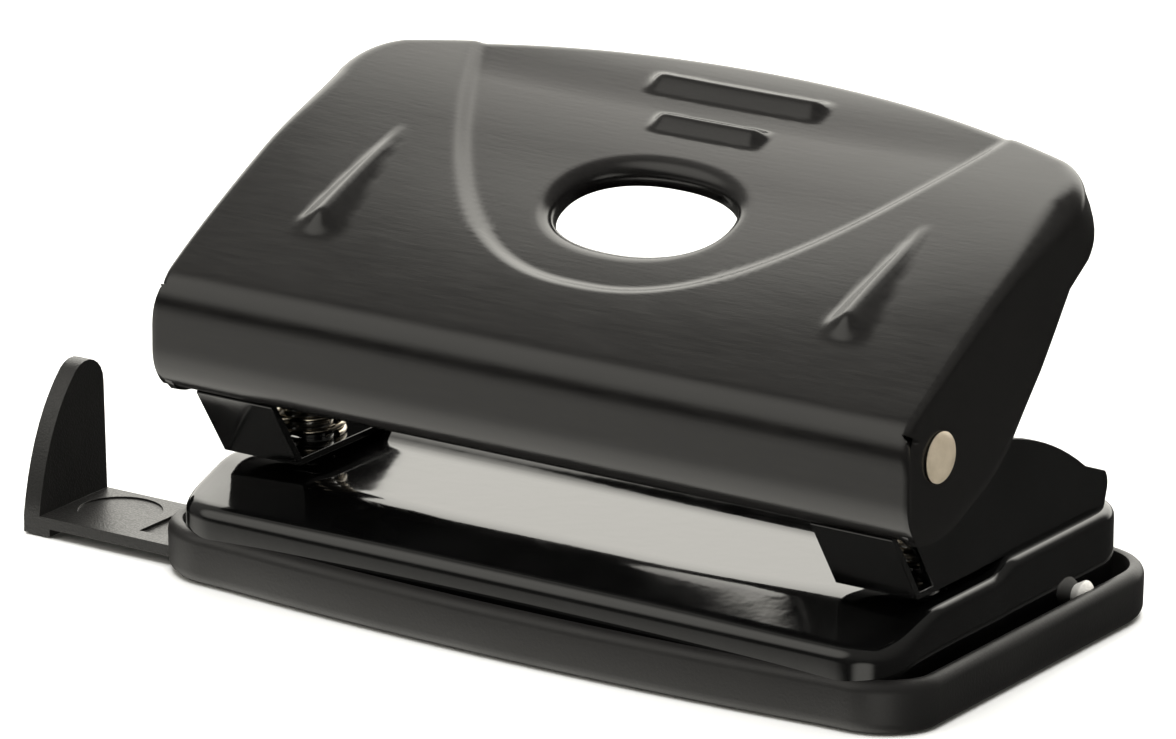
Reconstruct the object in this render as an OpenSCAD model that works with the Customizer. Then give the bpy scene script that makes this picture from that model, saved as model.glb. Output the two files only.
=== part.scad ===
// Two-hole desk punch: pressed-steel base, two punch heads, a rocking
// sheet-steel handle, a soft plastic chip tray and a sliding paper guide.
// X runs along the punch, -Y is the paper side, Z = 0 is the table.
// The origin lies midway between the punches, on the line of their axes.

/* [Punching] */
// Distance between the two hole centres
hole_spacing = 80; // [60:1:84]
// Diameter of the punched hole
pin_d = 5.5; // [5:0.1:6]
// Height of the slot that takes the paper
slot_h = 1.15; // [0.8:0.05:1.6]
// Clearance between a pin and its bores, on the radius
pin_play = 0.04; // [0.02:0.01:0.08]

/* [Base] */
// Length of the steel base
base_l = 93.4; // [93:0.2:94]
// Height of the rear platform
base_h = 12.75; // [12.2:0.05:13.2]
// Thickness of the pressed sheet
sheet = 0.9; // [0.7:0.05:1]
// Height of the chip tray
tray_h = 6; // [5.5:0.1:6.4]
// Length of the chip tray
tray_l = 99.6; // [99:0.2:101]

/* [Handle] */
// Width across the side walls of the handle
handle_w = 96; // [95.4:0.2:97]
// Radius of the arched top panel
panel_r = 205; // [190:5:220]
// Depth of the pressed finger field
field_deep = 1.2; // [0.8:0.1:1.4]
// Height of the two ribs at their front ends
rib_h = 1.5; // [0.5:0.1:2]
// Length of the finger hole
hole_l = 22; // [18:1:24]
// Width of the finger hole
hole_w = 11.5; // [9:0.5:13]

/* [Paper guide] */
// Distance from the first hole to the guide's stop face
guide_stop = 26.7; // [26:0.1:30]
// Height of the guide's stop fin above the table
fin_top = 18.4; // [14:0.2:20]

/* [Hidden] */

$fn = 64;
fine = 240;
cut = 0.01;
pin_x = hole_spacing / 2;

// base and its tray
base_front = -18.2;
base_back = 33.7;
base_r = 6;
base_low = base_h - slot_h;
tier_z = 8.9;
slope_y = -10.5;
step_y = [5.5, 8.9];
bolt_r = 1.5;
skirt_z = 3.7;
skirt_rear = 5.8;
tray_front = -20.4;
tray_back = 36.8;
tray_wall = 1.6;
tray_floor = 1.4;
tray_r = 7.5;
stud_y = 21.4;
stud_z = 5.2;
stud_r = 1.75;
stud_shank_r = 1.2;

// punch head
plate_t = 0.8;
head_w = 10.2;
wall_x = pin_x + head_w / 2;
plate_z = base_h;
lead_foot = [-9, plate_z];
lead_top = [-14.3, 20.8];
flange_z = lead_top[1];
flange_back = 5.5;
bend_run = 0.5;
plate_back = 30.5;
rivet_ys = [15, 26];

// pivot
pivot = [-10.3, 29.6];
boss_r = 5.2;
rivet_r = 1.6;
rivet_head_r = 2.85;
washer_r = 3.2;
rivet_play = 0.01;
washer_play = 0.05;

// handle profile, as centres and radii in the Y-Z plane
nose_y = -17.4;
brow_r = 3.5;
brow = [nose_y + brow_r, 31.4];
brow_a = 122;
curl_r = 6;
curl = [nose_y + curl_r, 26];
curl_end = 228;
arch = brow - (panel_r - brow_r) * [cos(brow_a), sin(brow_a)];
bow_r = 130;
panel_back = 30.2;
corner_r = 4;
hole_y = 5.4;
bar_w = 2.6;
rib_ends = [-7.8, 8.4];
lip_deep = 1.5;
saddle_w = 6.2;
saddle_z = 30.25;

// pin, clip and spring
head_top = 30.2;
head_low = 27.6;
head_r = 3.3;
grind_r = 2.4;
groove_r = 2.2;
pin_tip = plate_z + 0.1;
dome_r = 4;
clip_t = 0.6;
clip_z = flange_z - 0.1 - clip_t;
wire = 0.7;
spring_r = 3.9;
spring_z = plate_z + plate_t;
coils = 3.5;

// paper guide
guide_y = [-14.6, -1.8];
guide_z = [1.1, 2.4];
guide_in = -pin_x - guide_stop;
guide_out = guide_in - 2.2;
guide_end = 46.3;
channel_play = 0.3;

function polar(c, r, a) = c + r * [cos(a), sin(a)];
function arc(c, r, a0, a1, n) = [for (i = [0:n]) polar(c, r, a0 + (a1 - a0) * i / n)];
function bezier(p, q, s, n) =
    [for (i = [0:n]) let (t = i / n) (1-t)*(1-t)*p + 2*t*(1-t)*q + t*t*s];

// A Y-Z outline given a length along X
module along_x(x0, x1)
    translate([x0, 0, 0]) rotate([90, 0, 90]) linear_extrude(x1 - x0) children();

module round_rect(half_l, y0, y1, r) {
    translate([-half_l, y0 + r]) square([2 * half_l, y1 - y0 - 2 * r]);
    translate([-half_l + r, y0]) square([2 * (half_l - r), y1 - y0]);
    for (x = [-half_l + r, half_l - r], y = [y0 + r, y1 - r])
        translate([x, y]) circle(r);
}

module slab(half_l, y0, y1, r, z0, z1)
    translate([0, 0, z0]) linear_extrude(z1 - z0) round_rect(half_l, y0, y1, r);

module x_cylinder(x0, x1, r, at)
    translate([x0, at[0], at[1]]) rotate([0, 90, 0]) cylinder(h = x1 - x0, r = r);

// Draws the right-hand piece, or its mirror image on the left
module on_side(side) mirror([side < 0 ? 1 : 0, 0, 0]) children();

// ---------------------------------------------------------------- base

// Cross-section of the pressed lid, d inside its outer face
module base_profile(d)
    polygon([[base_front + d, 0], [base_front + d, tier_z - d * 0.5],
             [slope_y + d * 0.3, base_low - d], [step_y[0] + d * 0.2, base_low - d],
             [step_y[1] + d * 0.2, base_h - d], [base_back - d, base_h - d],
             [base_back - d, 0]]);

// The skirt's lower edge is level at the front and rises towards the back
module skirt_cut()
    polygon([[base_front - 1, -cut], [base_front - 1, skirt_z], [27, skirt_z],
             [base_back + 1, skirt_rear], [base_back + 1, -cut]]);

module base_plate() {
    color("#1b1b1d") difference() {
        intersection() {
            slab(base_l / 2, base_front, base_back, base_r, 0, base_h);
            along_x(-base_l, base_l) base_profile(0);
        }
        intersection() {
            slab(base_l / 2 - sheet, base_front + sheet, base_back - sheet,
                 base_r - sheet, -cut, base_h);
            along_x(-base_l, base_l) base_profile(sheet);
        }
        along_x(-base_l, base_l) skirt_cut();
        for (x = [-pin_x, pin_x]) {
            translate([x, 0, 0]) cylinder(h = 20, r = pin_d / 2 + pin_play);
            for (y = rivet_ys) translate([x, y, 0]) cylinder(h = 20, r = bolt_r);
        }
        x_cylinder(-base_l, base_l, stud_shank_r, [stud_y, stud_z]);
    }
}

// -------------------------------------------------------- punch heads

module wall_outline() {
    polygon(concat(
        [[-5.4, plate_z], [-9.3, 18.8]],
        arc(pivot, boss_r, 200, 62, 18),
        [[4.4, 27.6]],
        arc([-0.8, -18], 45, 80, 54, 10),
        arc([28.1, 15.2], 2.4, 40, -20, 6),
        [[29.9, plate_z]]));
}

module lead_outline() {
    foot = lead_foot;
    top = lead_top;
    polygon([foot, top, top + [bend_run, plate_t], [flange_back, top[1] + plate_t],
             [flange_back, top[1]], top + [2 * bend_run, 0], foot + [bend_run, plate_t],
             [plate_back, foot[1] + plate_t], [plate_back, foot[1]]]);
}

module bracket(side) {
    slit = 0.6;
    wall_front = -4.6;
    color("#1d1d1f") on_side(side) difference() {
        union() {
            along_x(pin_x - head_w / 2, wall_x - plate_t - slit) lead_outline();
            along_x(pin_x, wall_x) intersection() {
                lead_outline();
                translate([-20, 0]) square([20 + wall_front, 30]);
            }
            along_x(pin_x, wall_x)
                translate([wall_front, plate_z]) square([29.9 - wall_front, plate_t]);
            along_x(wall_x - plate_t, wall_x) wall_outline();
        }
        translate([pin_x, 0, 0]) cylinder(h = 40, r = pin_d / 2 + pin_play);
        x_cylinder(0, 60, rivet_r + rivet_play, pivot);
        for (y = rivet_ys) translate([pin_x, y, 0]) cylinder(h = 20, r = bolt_r);
    }
}

module bracket_left() { bracket(-1); }
module bracket_right() { bracket(1); }

module bracket_rivets() {
    under = base_h - sheet;
    tail_h = 0.7;
    head_h = 0.9;
    color("#2a2a2c") for (x = [-pin_x, pin_x], y = rivet_ys)
        translate([x, y, 0]) {
            translate([0, 0, under - tail_h]) cylinder(h = tail_h, r = bolt_r + 1);
            translate([0, 0, under]) cylinder(h = sheet + plate_t, r = bolt_r);
            translate([0, 0, plate_z + plate_t]) cylinder(h = head_h, r = bolt_r + 1.1);
        }
}

// Turned in one piece: flat tail, shank and domed head
module pivot_rivet(side) {
    tail = wall_x - plate_t;
    face = handle_w / 2 + 0.1;
    dome_h = 1.2;
    color("#b9ae9e") on_side(side) translate([0, pivot[0], pivot[1]]) rotate([0, 90, 0])
        rotate_extrude() polygon(concat(
            [[0, tail - 0.8], [rivet_head_r, tail - 0.8], [rivet_head_r, tail],
             [rivet_r, tail], [rivet_r, face]],
            [for (a = [0:15:75]) [rivet_head_r * cos(a), face + dome_h * sin(a)]],
            [[0, face + dome_h]]));
}

module pivot_rivet_left() { pivot_rivet(-1); }
module pivot_rivet_right() { pivot_rivet(1); }

module pivot_washer(side) {
    x0 = wall_x + washer_play;
    x1 = handle_w / 2 - sheet - washer_play;
    color("#8c8c8e") on_side(side) difference() {
        x_cylinder(x0, x1, washer_r, pivot);
        x_cylinder(x0 - 1, x1 + 1, rivet_r, pivot);
    }
}

module pivot_washer_left() { pivot_washer(-1); }
module pivot_washer_right() { pivot_washer(1); }

module tray_stud(side) {
    outside = base_l / 2;
    color("#d8d6d0") on_side(side) {
        x_cylinder(outside - sheet - 0.7, outside - sheet, stud_r, [stud_y, stud_z]);
        x_cylinder(outside - sheet, outside, stud_shank_r, [stud_y, stud_z]);
        x_cylinder(outside, outside + 1.9, stud_r, [stud_y, stud_z]);
    }
}

module tray_stud_left() { tray_stud(-1); }
module tray_stud_right() { tray_stud(1); }

// -------------------------------------------------------------- handle

// Everything inside the bent sheet's face, d below the outer surface
module handle_inside(d) {
    reach = 60;
    intersection() {
        translate(arch) circle(panel_r - d, $fn = fine * 2);
        polygon([brow, polar(brow, 14, brow_a), [reach, 90], [reach, 0], [brow[0], 0]]);
    }
    translate(brow) circle(brow_r - d);
    translate([nose_y + d, curl[1]]) square([brow_r + 2 - d, brow[1] - curl[1]]);
    translate(curl) circle(curl_r - d);
    translate([curl[0], 0]) square([20, brow[1]]);
}

// A layer of the arched panel from d0 to d1 below its outer surface
module panel_layer(d0, d1)
    along_x(-handle_w, handle_w) intersection() {
        difference() {
            translate(arch) circle(panel_r - d0, $fn = fine * 2);
            translate(arch) circle(panel_r - d1, $fn = fine * 2);
        }
        translate([brow[0] + 1, 30]) square([60, 40]);
    }

function field_w(y) = 8.37 * pow(y + 7, 0.398);
field_ys = [0, 0.4, 1.2, 2.6, 4.6, 7.5, 11, 15, 20, 26, 32, 39];

module field_2d(d) {
    edge = [for (s = field_ys) [field_w(s - 7) - d * min(1, s / 3), s - 7 + d * (1 - min(1, s / 6))]];
    polygon(concat(edge, [for (i = [len(edge) - 1:-1:0]) [-edge[i][0], edge[i][1]]]));
}

module plan(z0 = 20, z1 = 70) translate([0, 0, z0]) linear_extrude(z1 - z0) children();

module oval(l, w) {
    square([l - w, w], center = true);
    for (x = [-1, 1]) translate([x * (l - w) / 2, 0]) circle(w / 2);
}

// Plan of the handle: straight sides, bowed back, rounded rear corners
module handle_plan_2d() {
    half = handle_w / 2;
    bow_y = panel_back - bow_r;
    cx = half - corner_r;
    cy = bow_y + sqrt(pow(bow_r - corner_r, 2) - cx * cx);
    blend_x = cx * bow_r / (bow_r - corner_r);
    front = -30;
    intersection() {
        union() {
            translate([-half, front]) square([2 * half, cy - front]);
            translate([-blend_x, front]) square([2 * blend_x, panel_back - front]);
            for (x = [-cx, cx]) translate([x, cy]) circle(corner_r);
        }
        translate([0, bow_y]) circle(bow_r, $fn = fine * 2);
    }
}

// Side wall of the handle, hanging from the panel round the pivot
module flap_2d() intersection() {
    handle_inside(0);
    polygon(concat(
        [[-25, 20.4], [-25, 70], [12, 70]],
        arc([16.1, 48.4], 4.2, 80, -37.9, 10),
        arc([-6.23, 37.32], 15, -37.9, -74, 8),
        [[-7.1, 21], [-13.5, 20.6]]));
}

// A rib that tapers from its blunt front end to a point
module wedge_rib(side) {
    rib_x = 34;
    front = rib_ends[0];
    rear = rib_ends[1];
    under = arch_z(front) - 0.2;
    intersection() {
        on_side(side) plan()
            polygon([[rib_x - 2.6, front], [rib_x + 2.6, front],
                     [rib_x + 0.6, rear], [rib_x - 0.6, rear]]);
        along_x(-handle_w, handle_w) difference() {
            polygon([[front, under],
                     for (t = [0:1/9:1]) let (y = front + (rear - front) * t)
                         [y, arch_z(y) + rib_h * (1 - t)],
                     [rear, arch_z(rear)], [rear, under]]);
            translate(arch) circle(panel_r, $fn = fine * 2);
        }
    }
}

function arch_z(y) = arch[1] + sqrt(panel_r * panel_r - (y - arch[0]) * (y - arch[0]));

module handle_shell() {
    half = handle_w / 2;
    bar_top = 0.9;
    color("#3a3937") difference() {
        union() {
            difference() {
                intersection() {
                    along_x(-half, half) difference() {
                        handle_inside(0);
                        handle_inside(sheet);
                        polygon([curl, polar(curl, 12, curl_end), polar(curl, 16, 270)]);
                    }
                    plan(0, 80) handle_plan_2d();
                }
                plan(34, 80) field_2d(0);
            }
            intersection() {
                panel_layer(0, field_deep + sheet);
                plan() intersection() {
                    difference() {
                        field_2d(0);
                        field_2d(sheet);
                    }
                    handle_plan_2d();
                }
            }
            intersection() {
                panel_layer(field_deep, field_deep + sheet);
                plan() intersection() {
                    field_2d(0);
                    handle_plan_2d();
                }
            }
            intersection() {
                panel_layer(field_deep, field_deep + sheet + lip_deep);
                plan() translate([0, hole_y]) oval(hole_l + 2 * sheet, hole_w + 2 * sheet);
            }
            intersection() {
                panel_layer(field_deep - bar_top, field_deep + 0.2);
                plan() {
                    translate([0, 24.8]) oval(23.2, bar_w);
                    translate([0, 18.9]) oval(15, bar_w);
                }
            }
            for (side = [-1, 1]) {
                wedge_rib(side);
                on_side(side) intersection() {
                    along_x(half - sheet, half) flap_2d();
                    plan(0, 80) handle_plan_2d();
                }
            }
        }
        plan() translate([0, hole_y]) oval(hole_l, hole_w);
        x_cylinder(-60, 60, rivet_r + pin_play, pivot);
    }
}

module press_saddle(side) {
    leg = [-3.5, 4.5];
    color("#6f6f72") on_side(side)
        along_x(pin_x - saddle_w / 2, pin_x + saddle_w / 2) intersection() {
            difference() {
                translate([leg[0], saddle_z]) square([leg[1] - leg[0], 30]);
                translate([leg[0] + plate_t, saddle_z + plate_t])
                    square([leg[1] - leg[0] - 2 * plate_t, 30]);
            }
            translate(arch) circle(panel_r - sheet - cut, $fn = fine * 2);
        }
}

module press_saddle_left() { press_saddle(-1); }
module press_saddle_right() { press_saddle(1); }

// ------------------------------------------------- pins, clips, springs

module punch_pin(side) {
    color("#c9c9cc") translate([side * pin_x, 0, 0]) difference() {
        union() {
            translate([0, 0, pin_tip]) cylinder(h = head_low + 0.75 - pin_tip, r = pin_d / 2);
            intersection() {
                translate([0, 0, head_low]) cylinder(h = 3, r = head_r);
                translate([0, 0, head_top - dome_r]) sphere(r = dome_r, $fn = 96);
            }
        }
        translate([0, 0, pin_tip - 1.6]) rotate([90, 0, 0])
            cylinder(h = 10, r = grind_r, center = true);
        translate([0, 0, clip_z]) difference() {
            cylinder(h = clip_t, r = 4);
            translate([0, 0, -cut]) cylinder(h = 1, r = groove_r);
        }
    }
}

module punch_pin_left() { punch_pin(-1); }
module punch_pin_right() { punch_pin(1); }

module retaining_clip(side) {
    clip_r = 4.1;
    gap = 1.6;
    color("#9c9ca0") translate([side * pin_x, 0, clip_z]) difference() {
        cylinder(h = clip_t, r = clip_r);
        translate([0, 0, -1]) cylinder(h = 3, r = groove_r);
        translate([-gap / 2, 0, -1]) cube([gap, 2 * clip_r, 3]);
    }
}

module retaining_clip_left() { retaining_clip(-1); }
module retaining_clip_right() { retaining_clip(1); }

// Round wire swept along a helix, with both ends closed
module helix(r, w, h, turns, steps = 20, sides = 8) {
    n = round(turns * steps);
    tilt = atan2(h / turns, 2 * PI * r);
    function ring(i) = let (a = 360 * i / steps, z = h * i / n)
        [for (j = [0:sides - 1]) let (b = 360 * j / sides)
            [(r + w * cos(b)) * cos(a) + w * sin(b) * sin(tilt) * sin(a),
             (r + w * cos(b)) * sin(a) - w * sin(b) * sin(tilt) * cos(a),
             z + w * sin(b) * cos(tilt)]];
    points = [for (i = [0:n]) each ring(i)];
    sides_faces = [for (i = [0:n - 1], j = [0:sides - 1]) let (k = (j + 1) % sides)
        [i * sides + j, (i + 1) * sides + j, (i + 1) * sides + k, i * sides + k]];
    polyhedron(points, concat(sides_faces,
        [[for (j = [0:sides - 1]) j]],
        [[for (j = [sides - 1:-1:0]) n * sides + j]]), convexity = 8);
}

module return_spring(side) {
    play = 0.03;
    color("#cfcac0") translate([side * pin_x, 0, spring_z + wire / 2 + play])
        helix(spring_r, wire / 2, clip_z - spring_z - wire - 2 * play, coils);
}

module spring_left() { return_spring(-1); }
module spring_right() { return_spring(1); }

// --------------------------------------------------- tray and guide

module chip_tray() {
    half = tray_l / 2;
    inner = half - tray_wall;
    front = tray_front + tray_wall;
    y0 = guide_y[0] - channel_play;
    y1 = guide_y[1] + channel_play;
    z0 = guide_z[0] - channel_play;
    z1 = guide_z[1] + channel_play - 0.1;
    lip = 1.5;
    housing_wall = 1.2;
    housing_top = 3.4;
    pad = [34, 10];
    end_x = guide_end + 0.5;
    color("#2e2e30") difference() {
        union() {
            difference() {
                slab(half, tray_front, tray_back, tray_r, 0, tray_h);
                slab(inner, front, tray_back - tray_wall, tray_r - tray_wall,
                     tray_floor, tray_h + 1);
            }
            translate([-inner - cut, y0 - housing_wall, 0])
                cube([2 * inner, y1 - y0 + 2 * housing_wall, housing_top]);
            for (x = [-1, 1])
                translate([x * pad[0] - pad[1] / 2, front - cut, 0])
                    cube([pad[1], tray_wall, skirt_z - 0.05]);
        }
        translate([-half - 1, y0, z0]) cube([half + 1 + end_x, y1 - y0, z1 - z0]);
        translate([-half - 1, y0 + lip, -cut])
            cube([half + 1 + end_x, y1 - y0 - 2 * lip, z1]);
        for (side = [-1, 1]) on_side(side)
            x_cylinder(inner - 1, base_l / 2 + 2.1, stud_r + pin_play, [stud_y, stud_z]);
    }
}

module fin_2d() {
    foot = guide_z[1];
    tip_r = 3.2;
    tip = [-5.5, fin_top - tip_r];
    polygon(concat(
        [[guide_y[1], foot]],
        arc(tip, tip_r, 0, 130, 8),
        bezier(polar(tip, tip_r, 130), [-13, foot + 10.1], [guide_y[0], foot], 9)));
}

module paper_guide() {
    y0 = guide_y[0];
    y1 = guide_y[1];
    foot_l = 3.6;
    foot_z = 0.2;
    dimple = [guide_out + 8.3, -7.6];
    window = [guide_out + 14.3, -12.2];
    color("#2b2b2c") difference() {
        union() {
            translate([guide_out, y0, guide_z[0]])
                cube([guide_end - guide_out, y1 - y0, guide_z[1] - guide_z[0]]);
            translate([guide_out, y0, foot_z]) cube([foot_l, y1 - y0, guide_z[0]]);
            along_x(guide_out, guide_in) fin_2d();
        }
        translate([dimple[0], dimple[1], guide_z[1] - 0.2]) cylinder(h = 1, r = 4.8);
        translate([window[0], window[1], guide_z[1] - 0.4]) cube([96, 7.6, 1]);
    }
}

base_plate();
bracket_left();
bracket_right();
bracket_rivets();
pivot_rivet_left();
pivot_rivet_right();
pivot_washer_left();
pivot_washer_right();
tray_stud_left();
tray_stud_right();
handle_shell();
press_saddle_left();
press_saddle_right();
punch_pin_left();
punch_pin_right();
retaining_clip_left();
retaining_clip_right();
spring_left();
spring_right();
chip_tray();
paper_guide();
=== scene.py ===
import math

import bpy
from mathutils import Matrix, Vector


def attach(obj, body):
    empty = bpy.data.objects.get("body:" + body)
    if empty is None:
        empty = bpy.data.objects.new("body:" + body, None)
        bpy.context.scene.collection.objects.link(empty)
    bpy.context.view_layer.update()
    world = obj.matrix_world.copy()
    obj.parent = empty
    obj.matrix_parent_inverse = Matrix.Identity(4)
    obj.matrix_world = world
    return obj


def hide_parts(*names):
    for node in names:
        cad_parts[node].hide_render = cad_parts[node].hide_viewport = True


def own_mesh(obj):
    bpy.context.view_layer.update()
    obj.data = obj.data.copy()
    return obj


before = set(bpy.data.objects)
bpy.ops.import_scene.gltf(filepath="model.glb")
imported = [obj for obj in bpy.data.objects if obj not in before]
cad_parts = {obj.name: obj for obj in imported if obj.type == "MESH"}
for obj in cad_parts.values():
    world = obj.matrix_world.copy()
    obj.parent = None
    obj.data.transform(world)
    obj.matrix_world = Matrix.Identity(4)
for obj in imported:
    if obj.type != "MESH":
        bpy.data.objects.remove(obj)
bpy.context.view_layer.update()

MM = 0.001


# ---------------------------------------------------------------- studio
# A long lens a metre away, a pale table, and a white sweep behind and to the
# left that the black paint mirrors, brightest at the back. A soft box hangs on the
# front left, and a glow from the table and a low window light the front edges.

CAMERA_AZIMUTH, CAMERA_ELEVATION, CAMERA_ROLL = 33.52, 17.49, 0.40
CAMERA_DISTANCE = 977.8 * MM
CAMERA_TARGET = Vector((-2.4, -0.6, 27.6)) * MM
LENS = 275.5
SENSOR = 36.0


def make_camera():
    azimuth = math.radians(CAMERA_AZIMUTH)
    elevation = math.radians(CAMERA_ELEVATION)
    roll = math.radians(CAMERA_ROLL)
    back = Vector((math.sin(azimuth) * math.cos(elevation),
                   -math.cos(azimuth) * math.cos(elevation), math.sin(elevation)))
    level = Vector((math.cos(azimuth), math.sin(azimuth), 0))
    right = level * math.cos(roll) + back.cross(level) * math.sin(roll)
    turn = Matrix((right, back.cross(right), back)).transposed().to_4x4()
    lens = bpy.data.cameras.new("camera")
    lens.lens, lens.sensor_width = LENS, SENSOR
    lens.clip_start, lens.clip_end = 0.05, 20
    camera = bpy.data.objects.new("camera", lens)
    camera.matrix_world = Matrix.Translation(CAMERA_TARGET + back * CAMERA_DISTANCE) @ turn
    bpy.context.scene.collection.objects.link(camera)
    bpy.context.scene.camera = camera


def linear(code):
    """A six-digit sRGB hex colour as linear RGBA."""
    parts = [int(code[i:i + 2], 16) / 255 for i in (0, 2, 4)]
    return (*[c / 12.92 if c <= 0.04045 else ((c + 0.055) / 1.055) ** 2.4
              for c in parts], 1.0)


def add(tree, kind, inputs=None, **settings):
    """Adds a node, sets what it is and gives each input a value or a link."""
    made = tree.nodes.new(kind)
    for name, value in settings.items():
        setattr(made, name, value)
    for name, value in (inputs or {}).items():
        if isinstance(value, bpy.types.NodeSocket):
            tree.links.new(value, made.inputs[name])
        else:
            made.inputs[name].default_value = value
    return made


def smooth_range(tree, value, low, high, to_low=0.0, to_high=1.0):
    return add(tree, "ShaderNodeMapRange",
               {"Value": value, "From Min": low, "From Max": high,
                "To Min": to_low, "To Max": to_high},
               interpolation_type="SMOOTHSTEP").outputs["Result"]


def product(tree, a, b):
    return add(tree, "ShaderNodeMath", {0: a, 1: b}, operation="MULTIPLY").outputs[0]


def total(tree, a, b):
    return add(tree, "ShaderNodeMath", {0: a, 1: b}, operation="ADD").outputs[0]


def towards(tree, direction, way):
    return add(tree, "ShaderNodeVectorMath", {0: direction, 1: way},
               operation="DOT_PRODUCT").outputs["Value"]


def make_studio():
    world = bpy.data.worlds.new("studio")
    bpy.context.scene.world = world
    world.use_nodes = True
    tree = world.node_tree
    tree.nodes.clear()
    direction = add(tree, "ShaderNodeTexCoord").outputs["Generated"]
    height = add(tree, "ShaderNodeSeparateXYZ", {0: direction}).outputs["Z"]
    behind = product(tree, smooth_range(tree, towards(tree, direction, (-0.8, 0.6, 0)), 0.12, 0.5),
                     smooth_range(tree, height, -0.1, 0.06))
    rearward = smooth_range(tree, towards(tree, direction, (0, 1, 0)), 0.22, 0.50, 0.15, 3.4)
    sweep = product(tree, product(tree, behind, rearward),
                    smooth_range(tree, height, 0.25, 0.6, 0.70, 1.0))
    soft_box = smooth_range(tree, towards(tree, direction, (-0.53, -0.62, 0.58)),
                            0.86, 0.985, 0, 1.25)
    table_glow = smooth_range(tree, towards(tree, direction, (-0.55, -0.35, -0.76)),
                              0.60, 0.97, 0, 1.7)
    room = smooth_range(tree, height, -0.1, 0.9, 0.07, 0.3)
    window = smooth_range(tree, towards(tree, direction, (0.43, -0.85, -0.3)), 0.90, 0.99, 0, 1.4)
    strength = total(tree, total(tree, sweep, soft_box),
                     total(tree, total(tree, table_glow, window), room))
    glow = add(tree, "ShaderNodeBackground",
               {"Color": (1.0, 0.975, 0.90, 1), "Strength": strength})
    add(tree, "ShaderNodeOutputWorld", {"Surface": glow.outputs[0]})

    bpy.ops.mesh.primitive_plane_add(size=9)
    floor = bpy.context.object
    floor.name = "table"
    pale = bpy.data.materials.new("matt white laminate")
    pale.use_nodes = True
    tree = pale.node_tree
    shader = tree.nodes["Principled BSDF"]
    shader.inputs["Base Color"].default_value = linear("f4f4f2")
    shader.inputs["Roughness"].default_value = 0.9
    shader.inputs["Specular IOR Level"].default_value = 0.0
    floor.data.materials.append(pale)
    floor.visible_glossy = False

    fill = bpy.data.lights.new("ceiling", "AREA")
    fill.shape, fill.size, fill.energy = "DISK", 1.6, 38.0
    ceiling = bpy.data.objects.new("ceiling", fill)
    ceiling.location = (0, 0, 1.5)
    ceiling.visible_glossy = False
    bpy.context.scene.collection.objects.link(ceiling)

    bpy.context.scene.view_settings.view_transform = "Standard"


make_camera()
make_studio()


# ---------------------------------------------------------------- handle
# One sheet of 0.9 mm steel, drawn, embossed and bent over a die: an arched,
# slightly dished panel with folded side walls and a nose curled round the front.
# It is painted satin black over a fine rolling grain, and hangs on two rivets.

SHEET = 0.9
ARCH_R, BROW_R, CURL_R = 205.0, 5.5, 6.0
NOSE_Y = -17.4
ARCH = (92.9, -139.2)
BROW_Y = NOSE_Y + BROW_R
BROW = (BROW_Y, ARCH[1] + math.sqrt((ARCH_R - BROW_R) ** 2 - (BROW_Y - ARCH[0]) ** 2))
CURL = (NOSE_Y + CURL_R, 26.0)
BROW_TURN = math.atan2(BROW[1] - ARCH[1], BROW[0] - ARCH[0])
BROW_LENGTH = BROW_R * (math.pi - BROW_TURN)
FACE_LENGTH = BROW[1] - CURL[1]
CURL_LENGTH = CURL_R * math.radians(48)
SLIT_AT = -2.4
DISH = 1.25
BACK_Y, BOW_R, CORNER_R = 30.6, 130.0, 8.0
NOSE_HALF = 48.75
CORNER_FOLD, BACK_FOLD = 2.8, 1.2
WALL_LOW_X, WALL_LEAN = 48.05, 0.3
DISH_HALF = 47
FIELD_DEEP, FIELD_FRONT, FIELD_SPREAD, FIELD_POWER, FIELD_BLEND = 0.62, -7, 8.16, 1.404, 0.75
RIB_X, RIB_TIP, RIB_LENGTH, RIB_HIGH = 34, 9.5, 15.0, 1.75
BAR_HIGH = 1.15
BARS = ((25.3, 2.3, 1.3, 11.7), (19.2, 2.1, 1.2, 7.6))
CREST_BLEND = 0.12
NOSE_COLUMNS, SIDE_COLUMNS, CORNER_COLUMNS, BACK_COLUMNS = 72, 66, 16, 73


def ease(value, low, high):
    t = min(1.0, max(0.0, (value - low) / (high - low)))
    return t * t * (3 - 2 * t)


def section(s):
    """Point, rearward tangent and outward normal of the bent sheet, s mm along it."""
    if s >= -BROW_LENGTH:
        centre, radius = (ARCH, ARCH_R) if s >= 0 else (BROW, BROW_R)
        turn = BROW_TURN - s / radius
    elif s >= -BROW_LENGTH - FACE_LENGTH:
        return (NOSE_Y, BROW[1] + s + BROW_LENGTH), (0.0, 1.0), (-1.0, 0.0)
    else:
        centre, radius = CURL, CURL_R
        turn = math.pi - (s + BROW_LENGTH + FACE_LENGTH) / CURL_R
    c, d = math.cos(turn), math.sin(turn)
    return (centre[0] + radius * c, centre[1] + radius * d), (d, -c), (c, d)


def along_panel(y):
    """How far along the sheet the arched panel reaches a given Y."""
    return ARCH_R * (BROW_TURN - math.acos((y - ARCH[0]) / ARCH_R))


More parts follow.
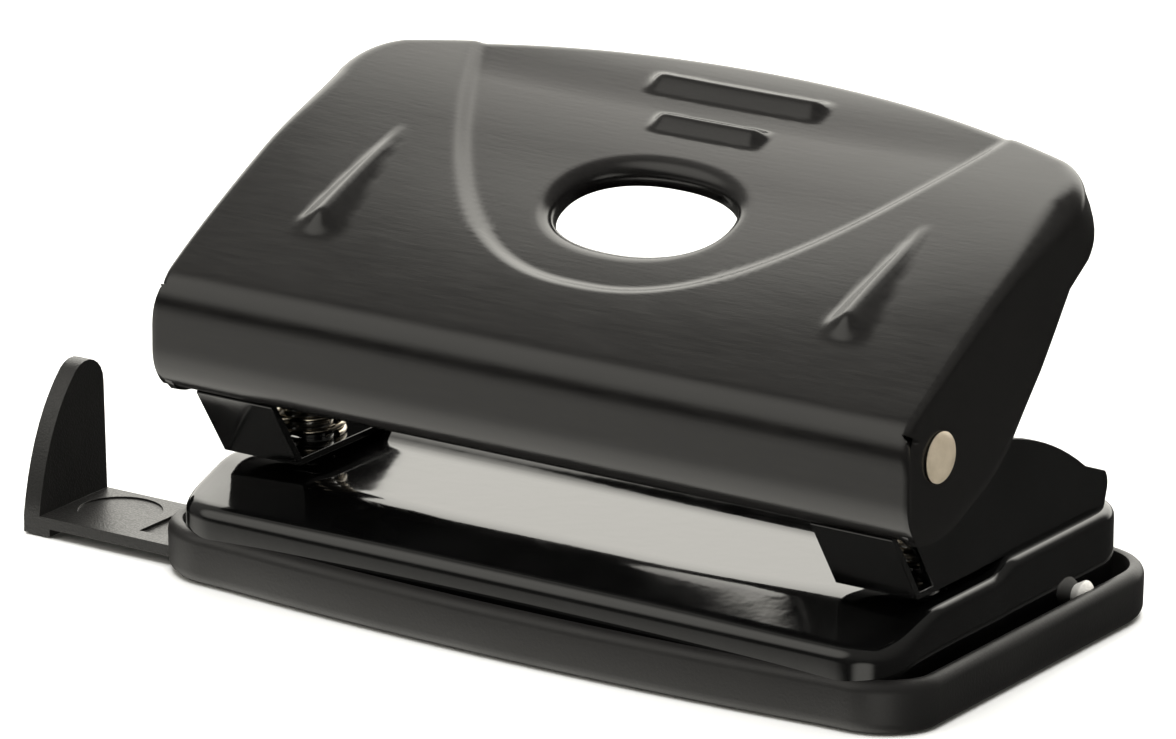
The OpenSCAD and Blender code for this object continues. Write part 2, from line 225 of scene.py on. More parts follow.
def emboss(x, s):
    """How far the panel stands above the plain arch, in mm."""
    y = section(max(s, 0.0))[0][0]
    ax = abs(x)
    up = -DISH * max(0.0, 1 - (x / DISH_HALF) ** 2) * ease(s, -2, 30)
    # finger field, set back behind a soft U-shaped step
    grow = (ax / FIELD_SPREAD) ** FIELD_POWER
    far = (((ax / FIELD_SPREAD) * grow - (y - FIELD_FRONT))
           / math.hypot(1, (FIELD_POWER + 1) / FIELD_SPREAD * grow))
    up -= (FIELD_DEEP * (1 - ease(far, -FIELD_BLEND, FIELD_BLEND))
           * (1 - 0.7 * ease(y, 20, 29)))
    # two tapering ribs
    t = (RIB_TIP - y) / RIB_LENGTH
    if t > 0:
        width = 0.45 + 2.5 * min(t, 1.05)
        side = math.hypot((ax - RIB_X) / width, CREST_BLEND)
        if side < 1:
            up += RIB_HIGH * min(t, 1) ** 0.9 * (1 - side) * ease(y, -8.4, -5.2)
    # two finger bars, steep behind and sloped in front
    for crest, front, rear, half in BARS:
        off = y - crest
        off = off / rear if off > 0 else -off / front
        slope = max(0.0, 1 - math.hypot(off, CREST_BLEND))
        up += BAR_HIGH * slope * ease(half - ax, -0.2, 1.9)
    return up


def wall_x(z):
    """Outer face of a side wall, which leans out a little towards the top."""
    return WALL_LOW_X + WALL_LEAN * ease(z, 28, 38)


def fold_r(s):
    """Radius of the fold between panel and wall, sharp in front and round behind."""
    return 0.9 + 0.4 * ease(s, SLIT_AT, 22) + 1.5 * ease(s, 20, 35)


SLIT_X = wall_x(section(SLIT_AT)[0][1]) - fold_r(SLIT_AT)


def handle_outline():
    """Right half of the fold line from the nose to the back, as (x, s, outward, kind, share)."""
    points = []
    for i in range(NOSE_COLUMNS + 1):
        share = i / NOSE_COLUMNS
        points.append((SLIT_X * share, SLIT_AT, (0, -1), "nose", share))
    corner_x = 48 - CORNER_R
    bow_y = BACK_Y - BOW_R
    corner_y = bow_y + math.sqrt((BOW_R - CORNER_R) ** 2 - corner_x ** 2)
    last = along_panel(corner_y)
    for i in range(SIDE_COLUMNS + 1):
        share = i / SIDE_COLUMNS
        s = SLIT_AT + (last - SLIT_AT) * share
        points.append((wall_x(section(s)[0][1]) - fold_r(s), s, (1, 0), "side", share))
    bow_turn = math.atan2(corner_x, corner_y - bow_y)
    for i in range(1, CORNER_COLUMNS + 1):
        share = i / CORNER_COLUMNS
        turn = share * (math.pi / 2 - bow_turn)
        radius = CORNER_R - CORNER_FOLD + (CORNER_FOLD - BACK_FOLD) * share
        x = wall_x(section(last)[0][1]) - CORNER_R + radius * math.cos(turn)
        y = corner_y + radius * math.sin(turn)
        points.append((x, along_panel(y), (math.cos(turn), math.sin(turn)), "corner", share))
    inner = BOW_R - BACK_FOLD
    corner_end = points[-1][0]
    for i in range(1, BACK_COLUMNS + 1):
        share = 1 - i / BACK_COLUMNS
        turn = bow_turn * share
        x = corner_end * math.sin(turn) / math.sin(bow_turn)
        y = bow_y + inner * math.cos(turn)
        points.append((x, along_panel(y), (math.sin(turn), math.cos(turn)), "back", share))
    return points


# Lower edge of a side wall, from the slit at the front round to the rear corner
WALL_EDGE = [(-15.6, 33.0), (-16.5, 30.8), (-16.6, 27.8), (-16.6, 25.6), (-16.4, 23.8),
             (-16, 22), (-14.9, 20.9), (-13.2, 20.4), (-10.8, 20.2), (-8.6, 20.3),
             (-6.6, 20.8), (-3.5, 22.2), (-0.7, 23.3), (1.9, 24.7), (3.5, 26), (5.4, 27.9),
             (7.9, 30.9), (10.2, 33.7), (12.3, 36.7), (14.5, 39.7), (15.85, 41.5)]


def corner_edge(y):
    """Height of the wall's edge where it sweeps up round the rear corner."""
    start_y, start_z = WALL_EDGE[-1]
    return start_z + 1.25 * (y - start_y) + 0.11 * max(0.0, y - 18) ** 3


def along_edge(points, share):
    """The point that lies a share of the way along a line of points."""
    lengths = [math.dist(a, b) for a, b in zip(points, points[1:])]
    left = share * sum(lengths)
    for a, b, length in zip(points, points[1:], lengths):
        if left <= length:
            return tuple(p + (q - p) * left / length for p, q in zip(a, b))
        left -= length
    return points[-1]


LIP_ROWS, PANEL_ROWS, OUTER_ROWS = 9, 58, 20
FOLD_ROWS = 8
HOLE_S = along_panel(5.4)
HOLE_POWER = 2.2
BEND_HALF = (12.6, 8.3 / 0.9)
THROAT_HALF = (10.9, 6.3 / 0.9)
LIP_R, LIP_DEEP = 1.8, 0.9
BACK_LIP = 0.25


def pressed(column, row):
    """Where a point of the blank ends up, in mm: from the hole's lip out to the edges."""
    x, s, out, kind, share = column
    reach = (abs(x / BEND_HALF[0]) ** HOLE_POWER
             + abs((s - HOLE_S) / BEND_HALF[1]) ** HOLE_POWER) ** (-1 / HOLE_POWER)
    if row < LIP_ROWS:
        turn = min(1.0, (LIP_ROWS - row) / (LIP_ROWS - 1)) * math.pi / 2
        deeper = LIP_DEEP if row == 0 else 0
        bx, bs = x * reach, (s - HOLE_S) * reach
        inward = math.sin(turn)
        px = bx * (1 - inward * (1 - THROAT_HALF[0] / BEND_HALF[0]))
        ps = HOLE_S + bs * (1 - inward * (1 - THROAT_HALF[1] / BEND_HALF[1]))
        drop = LIP_R * (1 - math.cos(turn)) + deeper
        (y, z), _, (ny, nz) = section(ps)
        up = emboss(bx, HOLE_S + bs) - drop
        return px, y + ny * up, z + nz * up
    if row <= LIP_ROWS + PANEL_ROWS:
        t = (row - LIP_ROWS) / PANEL_ROWS
        share_out = reach + (1 - reach) * t
        px, ps = x * share_out, HOLE_S + (s - HOLE_S) * share_out
        (y, z), _, (ny, nz) = section(ps)
        up = emboss(px, ps)
        return px, y + ny * up, z + nz * up
    step = row - LIP_ROWS - PANEL_ROWS
    if kind == "nose":
        t = step / OUTER_ROWS
        end = -BROW_LENGTH - FACE_LENGTH - CURL_LENGTH
        (y, z), _, _ = section(SLIT_AT + (end - SLIT_AT) * t)
        return x * (1 + (NOSE_HALF / SLIT_X - 1) * ease(t, -0.3, 0.4)), y, z
    (y, z), (ty, tz), (ny, nz) = section(s)
    up = emboss(x, s)
    y, z = y + ny * up, z + nz * up
    radius = {"side": fold_r(s), "corner": CORNER_FOLD + (BACK_FOLD - CORNER_FOLD) * share,
              "back": BACK_FOLD}[kind]
    full = {"side": 90, "corner": 90 - 25 * share, "back": 65}[kind]
    turn = math.radians(full) * min(1, step / FOLD_ROWS)
    push, drop = radius * math.sin(turn), radius * (1 - math.cos(turn))
    fold = (x + out[0] * push, y + out[1] * ty * push - ny * drop,
            z + out[1] * tz * push - nz * drop)
    if step <= FOLD_ROWS:
        return fold
    t = (step - FOLD_ROWS) / (OUTER_ROWS - FOLD_ROWS)
    if kind == "side":
        end = along_edge(WALL_EDGE, share)
        target = (math.copysign(wall_x(end[1]), x), *end)
        return tuple(a + (b - a) * t for a, b in zip(fold, target))
    deep = BACK_LIP
    if kind == "corner":
        deep = max(deep, fold[2] - corner_edge(fold[1]))
    way = math.radians(full)
    return (fold[0] + out[0] * math.cos(way) * deep * t,
            fold[1] + (out[1] * ty * math.cos(way) - ny * math.sin(way)) * deep * t,
            fold[2] + (out[1] * tz * math.cos(way) - nz * math.sin(way)) * deep * t)


def only(piece):
    """Selects one piece and nothing else."""
    for other in bpy.context.selected_objects:
        other.select_set(False)
    piece.select_set(True)
    bpy.context.view_layer.objects.active = piece


def blank(name, columns, rows):
    """A flat grid of points, ready to be pressed to shape: rows run along Y."""
    bpy.ops.mesh.primitive_grid_add(x_subdivisions=columns - 1, y_subdivisions=rows - 1,
                                    size=1)
    piece = bpy.context.object
    piece.name = piece.data.name = name
    only(piece)
    return piece


def press(piece, columns, rows, place):
    for j in range(rows):
        for i in range(columns):
            piece.data.vertices[j * columns + i].co = Vector(place(i, j)) * MM


def in_edit(piece, *steps):
    """Runs edit-mode operators, each a (function, settings) pair, on all of a piece."""
    only(piece)
    bpy.ops.object.mode_set(mode="EDIT")
    bpy.ops.mesh.select_all(action="SELECT")
    for step, settings in steps:
        step(**settings)
    bpy.ops.object.mode_set(mode="OBJECT")


def delete_faces(piece, chosen):
    only(piece)
    bpy.ops.object.mode_set(mode="EDIT")
    bpy.ops.mesh.select_mode(type="FACE")
    bpy.ops.mesh.select_all(action="DESELECT")
    bpy.ops.object.mode_set(mode="OBJECT")
    for face in piece.data.polygons:
        face.select = chosen(face)
    bpy.ops.object.mode_set(mode="EDIT")
    bpy.ops.mesh.delete(type="FACE")
    bpy.ops.mesh.select_mode(type="VERT")
    bpy.ops.object.mode_set(mode="OBJECT")


def modify(piece, kind, **settings):
    """Adds a modifier and applies it."""
    only(piece)
    made = piece.modifiers.new(kind.lower(), kind)
    for name, value in settings.items():
        setattr(made, name, value)
    bpy.ops.object.modifier_apply(modifier=made.name)


def shade(piece, angle=35):
    only(piece)
    bpy.ops.object.shade_smooth_by_angle(angle=math.radians(angle))


def coat_with(piece, material):
    piece.data.materials.clear()
    piece.data.materials.append(material)


def new_finish(name):
    """A material, its node tree, its shader and its object coordinates in millimetres."""
    material = bpy.data.materials.new(name)
    material.use_nodes = True
    tree = material.node_tree
    place = add(tree, "ShaderNodeTexCoord").outputs["Object"]
    in_mm = add(tree, "ShaderNodeVectorMath", {0: place, "Scale": 1000.0}, operation="SCALE")
    return material, tree, tree.nodes["Principled BSDF"], in_mm.outputs["Vector"]


def stretched(tree, place, size):
    """Coordinates whose pattern cells measure size = (x, y, z) millimetres."""
    return add(tree, "ShaderNodeMapping",
               {"Vector": place, "Scale": [1 / length for length in size]}).outputs["Vector"]


def grain(tree, place, size, detail=3.0, rough=0.55):
    return add(tree, "ShaderNodeTexNoise",
               {"Vector": stretched(tree, place, size), "Scale": 1.0, "Detail": detail,
                "Roughness": rough}).outputs["Fac"]


def set_bump(tree, shader, height, depth_mm):
    bump = add(tree, "ShaderNodeBump",
               {"Height": height, "Distance": depth_mm * MM, "Strength": 1.0})
    tree.links.new(bump.outputs["Normal"], shader.inputs["Normal"])


def vary(tree, shader, socket, value, low, high, to_low, to_high):
    spread = add(tree, "ShaderNodeMapRange",
                 {"Value": value, "From Min": low, "From Max": high,
                  "To Min": to_low, "To Max": to_high})
    tree.links.new(spread.outputs["Result"], shader.inputs[socket])


def vary_colour(tree, shader, value, dark, light):
    ramp = add(tree, "ShaderNodeValToRGB", {"Fac": value})
    ramp.color_ramp.elements[0].position, ramp.color_ramp.elements[0].color = 0.3, linear(dark)
    ramp.color_ramp.elements[1].position, ramp.color_ramp.elements[1].color = 0.7, linear(light)
    tree.links.new(ramp.outputs["Color"], shader.inputs["Base Color"])


def satin_paint():
    """Satin black stoving enamel. The rolling grain of the sheet shows through it as
    fine streaks along the handle, over a faint pebble of the paint itself."""
    material, tree, shader, place = new_finish("satin black stoving enamel")
    streaks = grain(tree, place, (5.0, 0.42, 0.42), 4.0, 0.62)
    pebble = grain(tree, place, (0.5, 0.5, 0.5), 2.0)
    broad = grain(tree, place, (14.0, 5.0, 5.0), 2.0)
    vary_colour(tree, shader, streaks, "0c0b0b", "141312")
    vary(tree, shader, "Roughness", total(tree, product(tree, streaks, 0.6),
                                          product(tree, broad, 0.4)), 0.35, 0.65, 0.17, 0.24)
    set_bump(tree, shader, total(tree, streaks, product(tree, pebble, 0.7)), 0.006)
    shader.inputs["IOR"].default_value = 1.5
    return material


def make_handle(finish):
    right = handle_outline()
    left = [(-x, s, (-out[0], out[1]), kind, share) for x, s, out, kind, share in right]
    loop = right[1:] + left[-2:0:-1] + [right[0], right[1]]
    slits = [i for i in range(len(loop) - 1)
             if {loop[i][3], loop[i + 1][3]} == {"nose", "side"}]
    rows = LIP_ROWS + PANEL_ROWS + OUTER_ROWS + 1
    handle = blank("handle", len(loop), rows)
    press(handle, len(loop), rows, lambda i, j: pressed(loop[i], j))
    wide = len(loop) - 1
    gone = {j * wide + i for j in range(LIP_ROWS + PANEL_ROWS, rows - 1) for i in slits}
    delete_faces(handle, lambda face: face.index in gone)
    in_edit(handle, (bpy.ops.mesh.remove_doubles, {"threshold": 0.004 * MM}),
            (bpy.ops.mesh.dissolve_degenerate, {"threshold": 0.004 * MM}),
            (bpy.ops.mesh.normals_make_consistent, {"inside": False}))
    modify(handle, "SOLIDIFY", thickness=SHEET * MM, offset=-1)
    modify(handle, "BEVEL", width=0.16 * MM, segments=2, limit_method="ANGLE",
           angle_limit=math.radians(60), use_clamp_overlap=True)
    shade(handle, 50)
    coat_with(handle, finish)
    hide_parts("handle_shell")
    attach(handle, "handle")


handle_finish = satin_paint()
make_handle(handle_finish)


# ------------------------------------------------------------- base plate
# The lid of the base, pressed from 0.9 mm sheet with a skirt all round and a
# step for the paper slot, sprayed gloss black. The die holes are punched in it.

BASE_HALF, BASE_FRONT, BASE_BACK, BASE_R = 46.7, -18.2, 33.7, 6.0
LOW_Z, HIGH_Z, TIER_Z = 11.6, 12.75, 8.9
EDGE_R = 1.3
SKIRT_Z, SKIRT_REAR = 3.7, 5.8
PUNCH_X, PUNCH_R = 40.0, 2.79
CREST_Y, CREST_SWEEP = -11.4, 4.5


def gloss_paint():
    """Gloss black enamel: a deep mirror with the faint orange peel of sprayed paint
    and a little dust and handling haze on it."""
    material, tree, shader, place = new_finish("gloss black enamel")
    peel = grain(tree, place, (2.6, 2.6, 2.6), 2.0, 0.5)
    haze = grain(tree, place, (9.0, 9.0, 9.0), 4.0, 0.6)
    vary_colour(tree, shader, haze, "050505", "0b0b0b")
    vary(tree, shader, "Roughness", haze, 0.3, 0.7, 0.05, 0.13)
    set_bump(tree, shader, peel, 0.012)
    shader.inputs["IOR"].default_value = 1.55
    return material


def front_foot(x):
    """Y of the base's front outline."""
    over = max(0.0, abs(x) - (BASE_HALF - BASE_R))
    return BASE_FRONT + BASE_R - math.sqrt(max(0.0, BASE_R ** 2 - over ** 2))


def from_edge(x, y, half, front, back, radius):
    """Distance in from a rounded rectangle's outline."""
    mid = (front + back) / 2
    qx = abs(x) - (half - radius)
    qy = abs(y - mid) - ((back - front) / 2 - radius)
    return radius - math.hypot(max(qx, 0), max(qy, 0)) - min(max(qx, qy), 0)


def soft_min(a, b, blend):
    h = max(blend - abs(a - b), 0.0) / blend
    return min(a, b) - h * h * blend / 4


def base_top(x, y):
    """Height of the lid: a deck with a step, a front slope and a rounded outline."""
    top = LOW_Z + (HIGH_Z - LOW_Z) * ease(y, 5.2, 9.0)
    crest = CREST_Y + CREST_SWEEP * ease(abs(x), 14, BASE_HALF + 6)
    foot = front_foot(min(abs(x), BASE_HALF))
    slope = TIER_Z + (LOW_Z - TIER_Z) * (y - foot) / (crest - foot)
    z = soft_min(top, slope, 0.5)
    inside = from_edge(x, y, BASE_HALF, BASE_FRONT, BASE_BACK, BASE_R)
    if inside < EDGE_R:
        z -= EDGE_R - math.sqrt(EDGE_R ** 2 - (EDGE_R - max(inside, 0)) ** 2)
    return z


def spaced(low, high, edge_steps, middle):
    """Grid lines close together near both ends."""
    return ([low + e for e in edge_steps]
            + [low + edge_steps[-1] + (high - low - 2 * edge_steps[-1]) * i / middle
               for i in range(1, middle)]
            + [high - e for e in reversed(edge_steps)])


def rounded(x, y, half, front, back, radius):
    """Draws the square corners of a grid in to round ones."""
    mid = (front + back) / 2
    u = (abs(x) - (half - radius)) / radius
    v = (abs(y - mid) - ((back - front) / 2 - radius)) / radius
    if u <= 0 or v <= 0:
        return x, y
    fx = half - radius + radius * u * math.sqrt(1 - v * v / 2)
    fy = (back - front) / 2 - radius + radius * v * math.sqrt(1 - u * u / 2)
    return math.copysign(fx, x), mid + math.copysign(fy, y - mid)


def edge_loop(piece):
    """Selects the open edge of a sheet."""
    only(piece)
    bpy.ops.object.mode_set(mode="EDIT")
    bpy.ops.mesh.select_mode(type="EDGE")
    bpy.ops.mesh.select_all(action="DESELECT")
    bpy.ops.mesh.select_non_manifold()


def make_base(finish):
    near = [0, 0.06, 0.18, 0.36, 0.6, 0.9, 1.3, 1.9, 2.8, 4, 5, 6]
    xs = spaced(-BASE_HALF, BASE_HALF, near, 70)
    ys = spaced(BASE_FRONT, BASE_BACK, near, 56)
    base = blank("base_lid", len(xs), len(ys))

    def place(i, j):
        x, y = rounded(xs[i], ys[j], BASE_HALF, BASE_FRONT, BASE_BACK, BASE_R)
        return x, y, base_top(x, y)

    press(base, len(xs), len(ys), place)
    for share in (0.5, 1.0):
        edge_loop(base)
        bpy.ops.mesh.extrude_edges_move()
        bpy.ops.mesh.select_mode(type="VERT")
        bpy.ops.object.mode_set(mode="OBJECT")
        for vertex in base.data.vertices:
            if vertex.select:
                y = vertex.co.y / MM
                low = SKIRT_Z + (SKIRT_REAR - SKIRT_Z) * ease(y, 24, 34)
                vertex.co.z += (low * MM - vertex.co.z) * share
    in_edit(base, (bpy.ops.mesh.normals_make_consistent, {"inside": False}))
    modify(base, "SOLIDIFY", thickness=SHEET * MM, offset=-1)
    for side in (-1, 1):
        bpy.ops.mesh.primitive_cylinder_add(vertices=48, radius=PUNCH_R * MM, depth=20 * MM,
                                            location=(side * PUNCH_X * MM, 0, 0.01))
        drill = bpy.context.object
        modify(base, "BOOLEAN", object=drill, operation="DIFFERENCE", solver="EXACT")
        bpy.data.objects.remove(drill)
    modify(base, "BEVEL", width=0.14 * MM, segments=2, limit_method="ANGLE",
           angle_limit=math.radians(60))
    shade(base, 40)
    coat_with(base, finish)
    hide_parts("base_plate")
    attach(base, "base")


gloss_finish = gloss_paint()
make_base(gloss_finish)


# --------------------------------------------------------------- brackets
# Two punch heads folded from 0.8 mm steel and sprayed gloss black with the lid:
# a floor, a sloped lead plate over the pins, and a tall side wall for the pivot.
# Four black rivets clench their floors to the lid.


def from_cad(node, name, soften, angle=40):
    """A merged copy of a CAD node, its edges softened by so many millimetres."""
    piece = bpy.data.objects.new(name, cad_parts[node].data.copy())
    bpy.context.scene.collection.objects.link(piece)
    in_edit(piece, (bpy.ops.mesh.remove_doubles, {"threshold": 0.002 * MM}),
            (bpy.ops.mesh.dissolve_limited, {"angle_limit": math.radians(0.6)}))
    modify(piece, "BEVEL", width=soften * MM, segments=3, limit_method="ANGLE",
           angle_limit=math.radians(28), use_clamp_overlap=True)
    shade(piece, angle)
    modify(piece, "WEIGHTED_NORMAL", keep_sharp=True)
    return piece


for side in ("left", "right"):
    bracket = from_cad("bracket_" + side, "punch_head_" + side, 0.13)
    coat_with(bracket, gloss_finish)
    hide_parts("bracket_" + side)
    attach(bracket, "base")

clench_rivets = from_cad("bracket_rivets", "clench_rivets", 0.3)
coat_with(clench_rivets, gloss_finish)
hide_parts("bracket_rivets")
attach(clench_rivets, "base")


# ------------------------------------------------------- rivets and studs
# Turned, nickel-plated steel: two pivot rivets with low domed heads, and two
# round studs on the ends of the lid that the soft tray snaps over.

PIVOT = (-10.3, 29.6)
PIVOT_BACK, PIVOT_SEAT, PIVOT_FACE, SHANK_R = 43.5, 44.3, 48.1, 1.6
HEAD_R, HEAD_RIM, HEAD_DOME = 2.85, 0.25, 0.85
STUD, STUD_DOME = (21.4, 5.2), 0.9
STUD_FACE, STUD_R, STUD_PROUD, STUD_SHANK_R, STUD_HEEL = 46.7, 1.75, 1.9, 1.2, 0.7


def nickel_plate(name, rough_low, rough_high, light, dark, metallic=1.0):
    """Barrel-polished nickel plate: a warm, bright metal with tumbling dents too fine
    to see singly, drawn at 0.5 mm so that they break the highlight."""
    material, tree, shader, place = new_finish(name)
    dents = grain(tree, place, (0.5, 0.5, 0.5), 2.0)
    bloom = grain(tree, place, (1.6, 1.6, 1.6), 3.0)
    vary_colour(tree, shader, bloom, dark, light)
    vary(tree, shader, "Roughness", bloom, 0.3, 0.7, rough_low, rough_high)
    set_bump(tree, shader, dents, 0.012)
    shader.inputs["Metallic"].default_value = metallic
    return material


def turned(name, rings, place, sides=48):
    """A lathe-turned piece: rings are (radius, distance along) pairs, and place puts
    a ring's point where it goes."""
    piece = blank(name, sides + 1, len(rings))

    def at(i, j):
        radius, along = rings[j]
        turn = 2 * math.pi * (i % sides) / sides
        return place(radius * math.cos(turn), radius * math.sin(turn), along)

    press(piece, sides + 1, len(rings), at)
    in_edit(piece, (bpy.ops.mesh.remove_doubles, {"threshold": 0.001 * MM}),
            (bpy.ops.mesh.normals_make_consistent, {"inside": False}))
    modify(piece, "BEVEL", width=0.12 * MM, segments=2, limit_method="ANGLE",
           angle_limit=math.radians(50), use_clamp_overlap=True)
    shade(piece, 45)
    return piece


def dome(radius, face, height, steps=9):
    """Rings of a low domed head, from its rim to its middle."""
    turns = [math.pi / 2 * i / steps for i in range(steps + 1)]
    return [(radius * math.cos(turn), face + height * math.sin(turn)) for turn in turns]


nickel = nickel_plate("barrel-polished nickel plate", 0.34, 0.46, "cdbfa9", "bcae98", 0.4)
bright_plate = nickel_plate("matt bright nickel plate", 0.4, 0.5, "f2f0ea", "e6e3dc", 0.2)
for side, name in ((-1, "left"), (1, "right")):
    rivet = turned("pivot_" + name, [(0, PIVOT_BACK), (HEAD_R, PIVOT_BACK),
                                     (HEAD_R, PIVOT_SEAT), (SHANK_R, PIVOT_SEAT),
                                     (SHANK_R, PIVOT_FACE)]
                   + dome(HEAD_R, PIVOT_FACE + HEAD_RIM, HEAD_DOME),
                   lambda u, v, along: (side * along, PIVOT[0] + u, PIVOT[1] + v))
    coat_with(rivet, nickel)
    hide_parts("pivot_rivet_" + name)
    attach(rivet, "base")
    stud = turned("stud_" + name, [(0, STUD_FACE - SHEET - STUD_HEEL),
                                   (STUD_R, STUD_FACE - SHEET - STUD_HEEL),
                                   (STUD_R, STUD_FACE - SHEET), (STUD_SHANK_R, STUD_FACE - SHEET),
                                   (STUD_SHANK_R, STUD_FACE)]
                  + dome(STUD_R, STUD_FACE + STUD_PROUD - STUD_DOME, STUD_DOME),
                  lambda u, v, along: (side * along, STUD[0] + u, STUD[1] + v))
    coat_with(stud, bright_plate)
    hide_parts("tray_stud_" + name)
    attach(stud, "base")


# ------------------------------------------------- pins, clips and saddles
# Bare steel inside the punch heads: ground pins with domed heads, split clips
# sprung into their grooves, washers on the pivots, and the two channels that are
# spot-welded under the handle and press the pins down.


def ground_steel(name, size, dark, light, rough):
    """Bare steel under a film of oil, with fine marks round or along the piece."""
    material, tree, shader, place = new_finish(name)
    marks = grain(tree, place, size, 3.0)
    vary_colour(tree, shader, marks, dark, light)
    vary(tree, shader, "Roughness", marks, 0.3, 0.7, rough - 0.06, rough + 0.08)
    set_bump(tree, shader, marks, 0.008)
    shader.inputs["Metallic"].default_value = 1.0
    return material


ground = ground_steel("cylindrically ground steel", (4.0, 4.0, 0.2), "a8a8a8", "c9c9c8", 0.2)
spring_steel = ground_steel("blued spring steel", (0.8, 0.8, 0.8), "4c4c50", "66666a", 0.34)
rolled = ground_steel("cold-rolled sheet steel", (3.0, 0.3, 0.3), "7d7d7c", "9a9a98", 0.36)
for side in ("left", "right"):
    for node, name, body, finish in (("punch_pin_", "pin_", "pin_" + side, ground),
                                     ("retaining_clip_", "clip_", "pin_" + side, spring_steel),
                                     ("pivot_washer_", "washer_", "base", rolled),
                                     ("press_saddle_", "saddle_", "handle", rolled)):
        piece = from_cad(node + side, name + side, 0.08)
        coat_with(piece, finish)
        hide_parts(node + side)
        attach(piece, body)


# ---------------------------------------------------------------- springs
# Compression springs of 0.7 mm plated music wire round the pins, with a closed
# turn at each end. They stand on the bracket floors and push the clips up.

WIRE, SPRING_R = 0.7, 3.9
SPRING_LOW, SPRING_HIGH = 13.55, 20.05
OPEN_TURNS, CLOSED_TURNS = 3.2, 0.75
CLOSED_PITCH, STEPS_A_TURN = WIRE * 1.04, 40


def spring_height(turn):
    """Height of the wire's middle after so many turns."""
    low, high = SPRING_LOW + WIRE / 2, SPRING_HIGH - WIRE / 2
    rise = high - low - 2 * CLOSED_PITCH * CLOSED_TURNS
    if turn < CLOSED_TURNS:
        return low + CLOSED_PITCH * turn
    if turn > CLOSED_TURNS + OPEN_TURNS:
        return high - CLOSED_PITCH * (2 * CLOSED_TURNS + OPEN_TURNS - turn)
    return low + CLOSED_PITCH * CLOSED_TURNS + rise * (turn - CLOSED_TURNS) / OPEN_TURNS


plated_wire = nickel_plate("bright plated music wire", 0.12, 0.2, "d8cfbf", "b8ae9e")
for side, name in ((-1, "left"), (1, "right")):
    wire = bpy.data.curves.new("spring_wire_" + name, "CURVE")
    wire.dimensions = "3D"
    wire.bevel_depth, wire.bevel_resolution, wire.use_fill_caps = WIRE / 2 * MM, 4, True
    turns = 2 * CLOSED_TURNS + OPEN_TURNS
    count = round(turns * STEPS_A_TURN)
    line = wire.splines.new("POLY")
    line.points.add(count)
    for i, point in enumerate(line.points):
        turn = turns * i / count
        angle = 2 * math.pi * turn
        point.co = (*Vector((side * PUNCH_X + SPRING_R * math.cos(angle),
                             SPRING_R * math.sin(angle), spring_height(turn))) * MM, 1)
    spring = bpy.data.objects.new("spring_wire_" + name, wire)
    bpy.context.scene.collection.objects.link(spring)
    only(spring)
    bpy.ops.object.convert(target="MESH")
    spring = bpy.context.object
    in_edit(spring, (bpy.ops.mesh.normals_make_consistent, {"inside": False}))
    shade(spring, 60)
    coat_with(spring, plated_wire)
    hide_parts("spring_" + name)
    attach(spring, "base")
    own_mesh(spring)


# ------------------------------------------------------------------- tray
# A shallow tray of soft black plastic that snaps over the studs and catches the
# chips. It is moulded with round edges and a bowed front, and a channel under its
# floor takes the paper guide.

TRAY_HALF, TRAY_FRONT, TRAY_BACK, TRAY_R, TRAY_TOP = 49.8, -20.6, 36.8, 8.0, 6.0
TRAY_BOW, BOW_HALF, BOW_REACH = 0.00125, 40, 18
CORNER_STEPS, SIDE_STEPS, END_STEPS = 14, 24, 14
CHANNEL_Y, CHANNEL_Z, CHANNEL_LIP = (-14.9, -1.5), (0.8, 2.6), 1.5
CHANNEL_END, MOUTH_END = 46.8, 46.5
HOUSING_LOW, HOUSING_TOP, HOUSING_HALF = 0.6, 3.4, 47.4


def soft_plastic():
    """Soft-touch black polythene: matt, with a very fine spark texture and faint
    rubbed patches that take the light a little more."""
    material, tree, shader, place = new_finish("moulded soft black polythene")
    texture = grain(tree, place, (0.35, 0.35, 0.35), 2.0)
    rubbed = grain(tree, place, (11.0, 11.0, 4.0), 4.0)
    vary_colour(tree, shader, rubbed, "151414", "1c1b1a")
    vary(tree, shader, "Roughness", rubbed, 0.3, 0.7, 0.40, 0.52)
    set_bump(tree, shader, total(tree, texture, product(tree, rubbed, 0.5)), 0.022)
    shader.inputs["IOR"].default_value = 1.5
    return material


def tray_outline():
    """Points round the tray's plan with their outward directions."""
    points = []
    mid_y, half_y = (TRAY_FRONT + TRAY_BACK) / 2, (TRAY_BACK - TRAY_FRONT) / 2
    dx, dy = TRAY_HALF - TRAY_R, half_y - TRAY_R
    corners = [(dx, dy, 0), (-dx, dy, 90), (-dx, -dy, 180), (dx, -dy, 270)]
    for k, (cx, cy, start) in enumerate(corners):
        for i in range(CORNER_STEPS + 1):
            turn = math.radians(start + 90 * i / CORNER_STEPS)
            out = (math.cos(turn), math.sin(turn))
            points.append((cx + TRAY_R * out[0], mid_y + cy + TRAY_R * out[1], out))
        nx, ny, _ = corners[(k + 1) % 4]
        steps = SIDE_STEPS if k % 2 == 0 else END_STEPS
        for i in range(1, steps):
            t = i / steps
            points.append((cx + (nx - cx) * t + TRAY_R * out[0],
                           mid_y + cy + (ny - cy) * t + TRAY_R * out[1], out))
    return [(x, y + TRAY_BOW * min(abs(x), BOW_HALF) ** 2
             * (1 - ease(y, TRAY_FRONT, TRAY_FRONT + BOW_REACH)), out) for x, y, out in points]


def quarter(inset, z, radius, start, steps=5):
    """A quarter round of the tray's section, as (inset, z) pairs."""
    turns = [math.radians(start - 90 * i / steps) for i in range(steps + 1)]
    return [(inset - radius * math.cos(turn), z + radius * math.sin(turn)) for turn in turns]


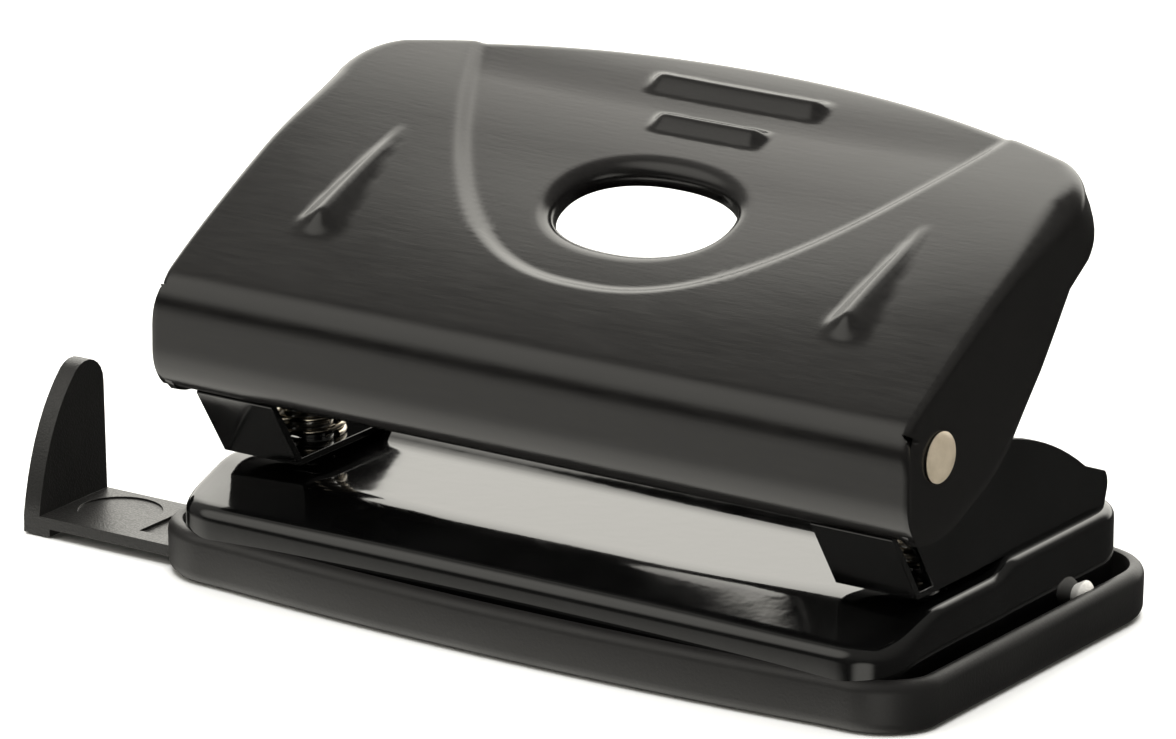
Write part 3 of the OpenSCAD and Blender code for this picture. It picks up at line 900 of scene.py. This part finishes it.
def tray_section():
    """From the middle of the floor up the wall, over the rim and under, as (inset, z)."""
    return ([(None, 1.4), (7.0, 1.4), (2.4, 1.4), (2.05, 1.5), (1.9, 1.85), (1.75, 5.5),
             (1.66, 5.85)] + quarter(1.35, TRAY_TOP - 1.3, 1.3, 90)
            + quarter(1.6, 1.5, 1.5, 0) + [(7.0, 0.0), (None, 0.0)])


def tray_block(name, x0, x1, y0, y1, z0, z1):
    """A plain block used to add to the tray or cut it."""
    bpy.ops.mesh.primitive_cube_add(size=1)
    block = bpy.context.object
    block.name = name
    for vertex in block.data.vertices:
        vertex.co = Vector((x1 if vertex.co.x > 0 else x0, y1 if vertex.co.y > 0 else y0,
                            z1 if vertex.co.z > 0 else z0)) * MM
    block.data.update()
    return block


def combine(piece, block, how):
    modify(piece, "BOOLEAN", object=block, operation=how, solver="MANIFOLD")
    bpy.data.objects.remove(block)


def make_tray(finish):
    outline = tray_outline()
    section_points = tray_section()
    tray = blank("tray", len(outline) + 1, len(section_points))
    mid_y = (TRAY_FRONT + TRAY_BACK) / 2

    def place(i, j):
        x, y, (ox, oy) = outline[i % len(outline)]
        inset, z = section_points[j]
        if inset is None:
            return math.copysign(max(abs(x) - 30, 0), x) * 0.9, mid_y, z
        return x - ox * inset, y - oy * inset, z

    press(tray, len(outline) + 1, len(section_points), place)
    in_edit(tray, (bpy.ops.mesh.remove_doubles, {"threshold": 0.002 * MM}),
            (bpy.ops.mesh.dissolve_degenerate, {"threshold": 0.002 * MM}),
            (bpy.ops.mesh.normals_make_consistent, {"inside": False}))
    y0, y1 = CHANNEL_Y
    combine(tray, tray_block("housing", -HOUSING_HALF, HOUSING_HALF, y0 - 0.6, y1 + 1.2,
                             HOUSING_LOW, HOUSING_TOP), "UNION")
    channel = tray_block("channel", -TRAY_HALF - 5, CHANNEL_END, y0, y1, *CHANNEL_Z)
    combine(channel, tray_block("mouth", -TRAY_HALF - 6, MOUTH_END, y0 + CHANNEL_LIP,
                                y1 - CHANNEL_LIP, -1, CHANNEL_Z[0] + 0.5), "UNION")
    combine(tray, channel, "DIFFERENCE")
    shade(tray, 35)
    coat_with(tray, finish)
    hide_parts("chip_tray")
    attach(tray, "tray")


make_tray(soft_plastic())


# ------------------------------------------------------------ paper guide
# One strip of black plastic with a stop fin, spark-textured in the mould. It
# slides in the tray's channel. A dimple and a plain recess lie where the real one
# carries its scale.


GRAIN = 0.25


def grained_plastic():
    """Black polystyrene with a fine spark-eroded grain, about 0.25 mm across."""
    material, tree, shader, place = new_finish("spark-textured black polystyrene")
    pits = add(tree, "ShaderNodeTexVoronoi",
               {"Vector": stretched(tree, place, (GRAIN,) * 3), "Scale": 1.0}).outputs["Distance"]
    cloud = grain(tree, place, (3.0, 3.0, 3.0), 3.0)
    vary_colour(tree, shader, cloud, "121211", "191817")
    vary(tree, shader, "Roughness", pits, 0.1, 0.7, 0.30, 0.46)
    set_bump(tree, shader, pits, 0.02)
    shader.inputs["IOR"].default_value = 1.55
    return material


guide = from_cad("paper_guide", "guide", 0.17, 50)
coat_with(guide, grained_plastic())
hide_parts("paper_guide")
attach(guide, "guide")
